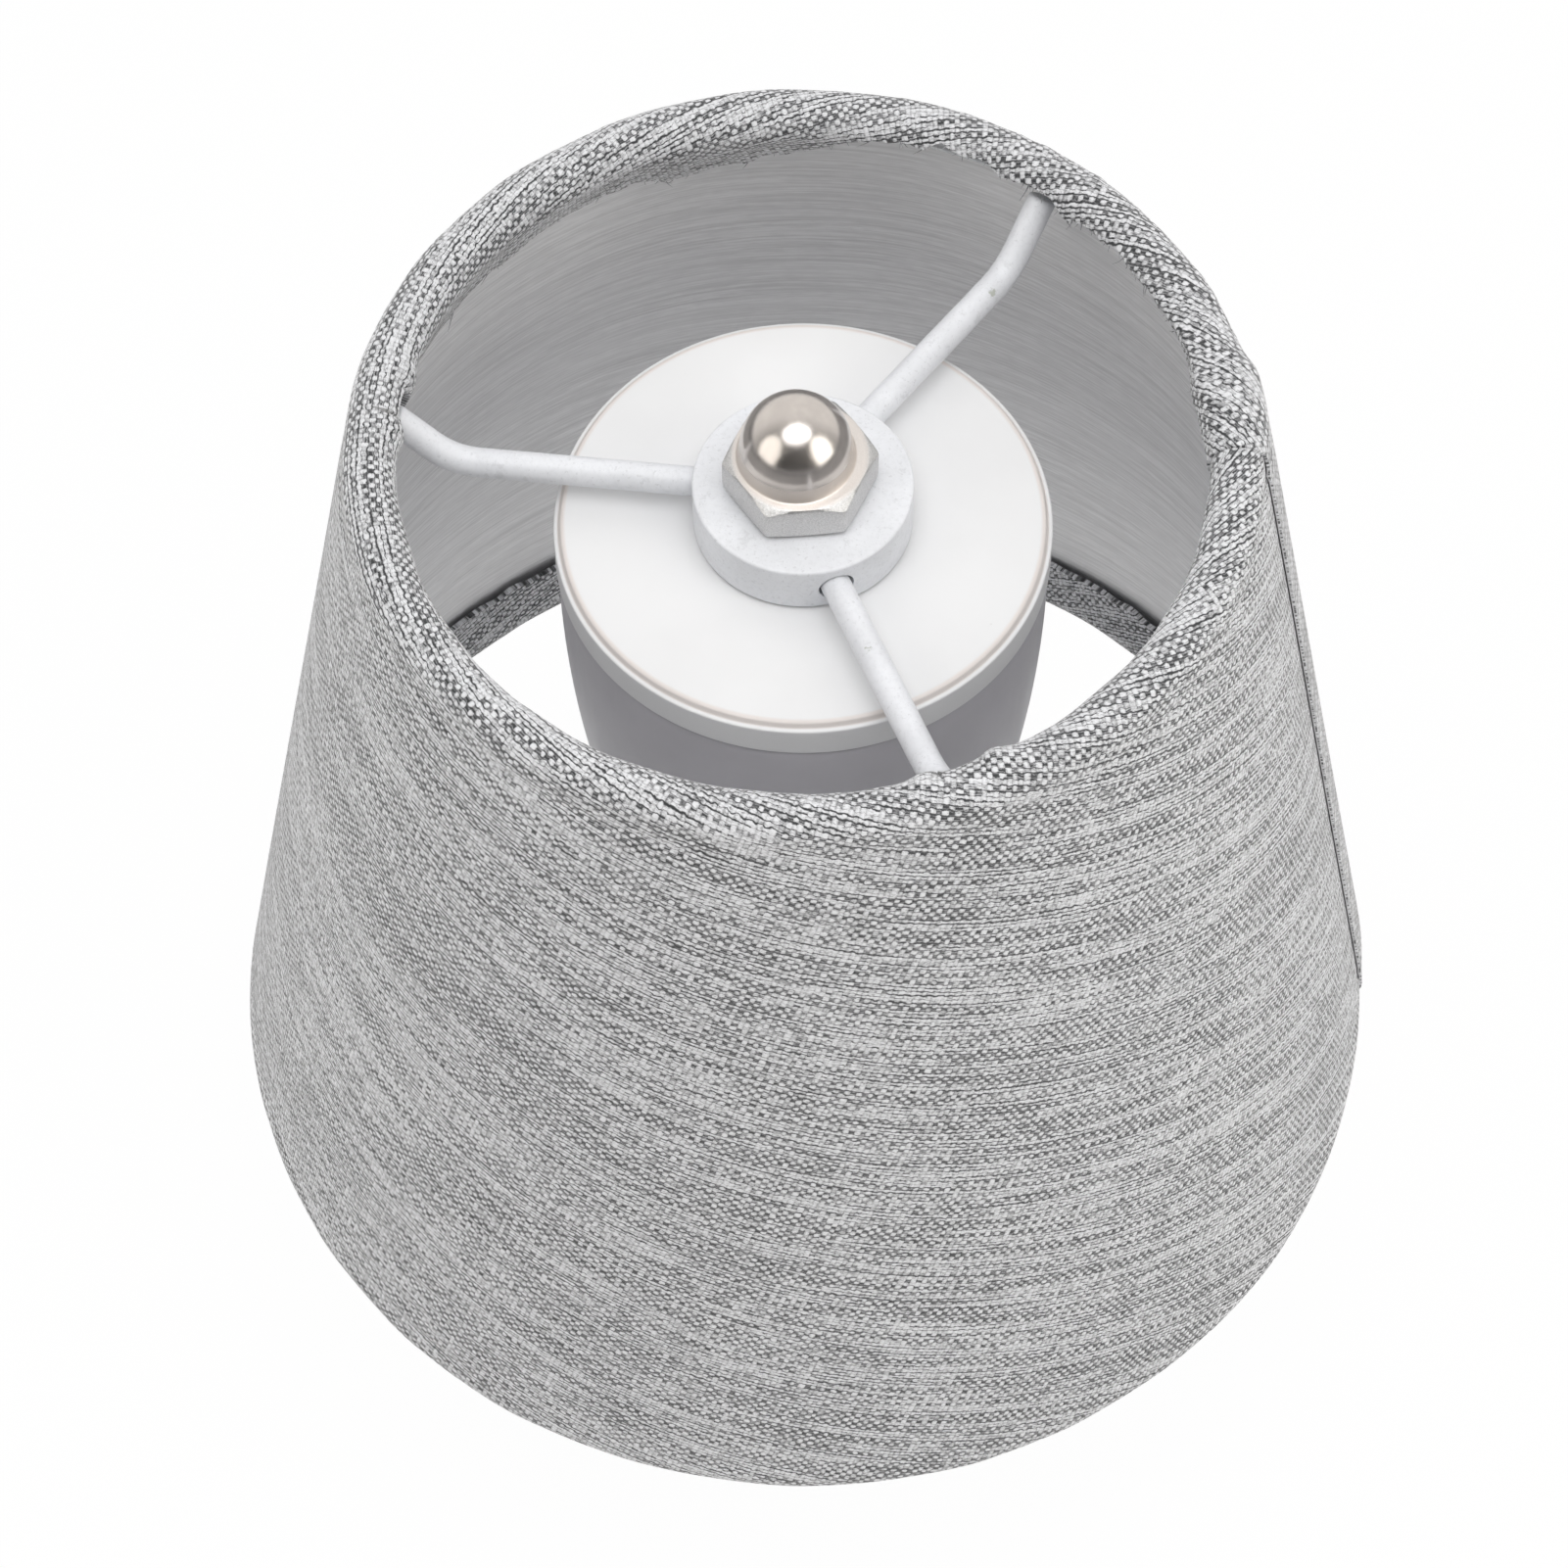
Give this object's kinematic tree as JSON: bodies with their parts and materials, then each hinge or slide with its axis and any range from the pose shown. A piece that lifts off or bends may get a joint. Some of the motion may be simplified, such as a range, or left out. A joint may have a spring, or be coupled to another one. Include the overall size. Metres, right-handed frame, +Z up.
{
  "type": "bottle lamp",
  "caption": "Small cordless lamp with a tapered woven shade on a wire spider, a domed nut on top, a grey diffuser and a rubber stopper that plugs into a bottle's neck.",
  "frame": {"origin": "on the lamp's axis, in the plane where the stopper's flange rests on the bottle's lip", "axes": "+Z up along the lamp's axis; -Y is the side that faces the viewer in the picture and holds the power button; +X is the side of the shade's lapped seam"},
  "size_m": [0.1304, 0.13, 0.1499],
  "materials": {
    "woven_cloth": "plain weave of light and dark grey yarn",
    "grey_liner": "satin sheet with fine streaks round the shade",
    "bare_wire": "drawn wire",
    "white_enamel": "satin white enamel",
    "warm_white": "satin warm white paint",
    "nickel": "polished nickel plate",
    "steel": "plated steel",
    "satin_aluminium": "satin",
    "smoked_opal": "smooth grey opal",
    "board_white": "white solder mask",
    "board_green": "green solder mask",
    "led_yellow": "phosphor under clear resin",
    "cell_wrap": "shrink sleeve over the cell's metal can",
    "brass": "plain",
    "white_plastic": "fine moulded texture",
    "dark_plastic": "moulded",
    "lens_clear": "clear",
    "stopper_rubber": "matt rubber"
  },
  "bodies": {
    "base": {"centre_stud": "steel", "top_cap": "warm_white", "led_board": "board_white", "led_1": "led_yellow", "led_2": "led_yellow", "led_3": "led_yellow", "led_4": "led_yellow", "led_5": "led_yellow", "led_6": "led_yellow", "diffuser": "smoked_opal", "battery_tube": "satin_aluminium", "battery_cell": "cell_wrap", "upper_contact": "brass", "contact_spring": "steel", "battery_seat": "dark_plastic", "led_lead_1": "dark_plastic", "led_lead_2": "dark_plastic", "control_board": "board_green", "usb_port": "steel", "tact_switch": "dark_plastic", "charge_led": "led_yellow", "charge_lens": "lens_clear", "base_housing": "warm_white", "bottom_cover": "white_plastic", "stopper": "stopper_rubber", "stopper_washer": "steel", "stopper_screw": "steel", "cover_screw_1": "steel", "cover_screw_2": "steel", "cover_screw_3": "steel", "cover_screw_4": "steel", "board_screw_1": "steel", "board_screw_2": "steel", "seat_screw_1": "steel", "seat_screw_2": "steel", "tube_screw_1": "steel", "tube_screw_2": "steel"},
    "shade": {"shade_fabric": "woven_cloth", "shade_liner": "grey_liner", "top_ring_wire": "bare_wire", "bottom_ring_wire": "bare_wire", "spider_arm_left": "white_enamel", "spider_arm_front": "white_enamel", "spider_arm_back": "white_enamel", "spider_hub": "white_enamel"},
    "nut": {"cap_nut": "nickel"},
    "button": {"power_button": "white_plastic", "switch_plunger": "white_plastic"}
  },
  "joints": [
    {"name": "shade_turn", "type": "hinge", "parent": "base", "child": "shade", "pos_m": [0, 0, 0.1033], "axis": [0, 0, 1], "continuous": true},
    {"name": "nut_turn", "type": "hinge", "parent": "base", "child": "nut", "pos_m": [0, 0, 0.1087], "axis": [0, 0, 1], "continuous": true},
    {"name": "button_press", "type": "slide", "parent": "base", "child": "button", "axis": [0, 1, 0], "range_m": [0, 0.0005], "stiffness_N_per_m": 1500}
  ]
}
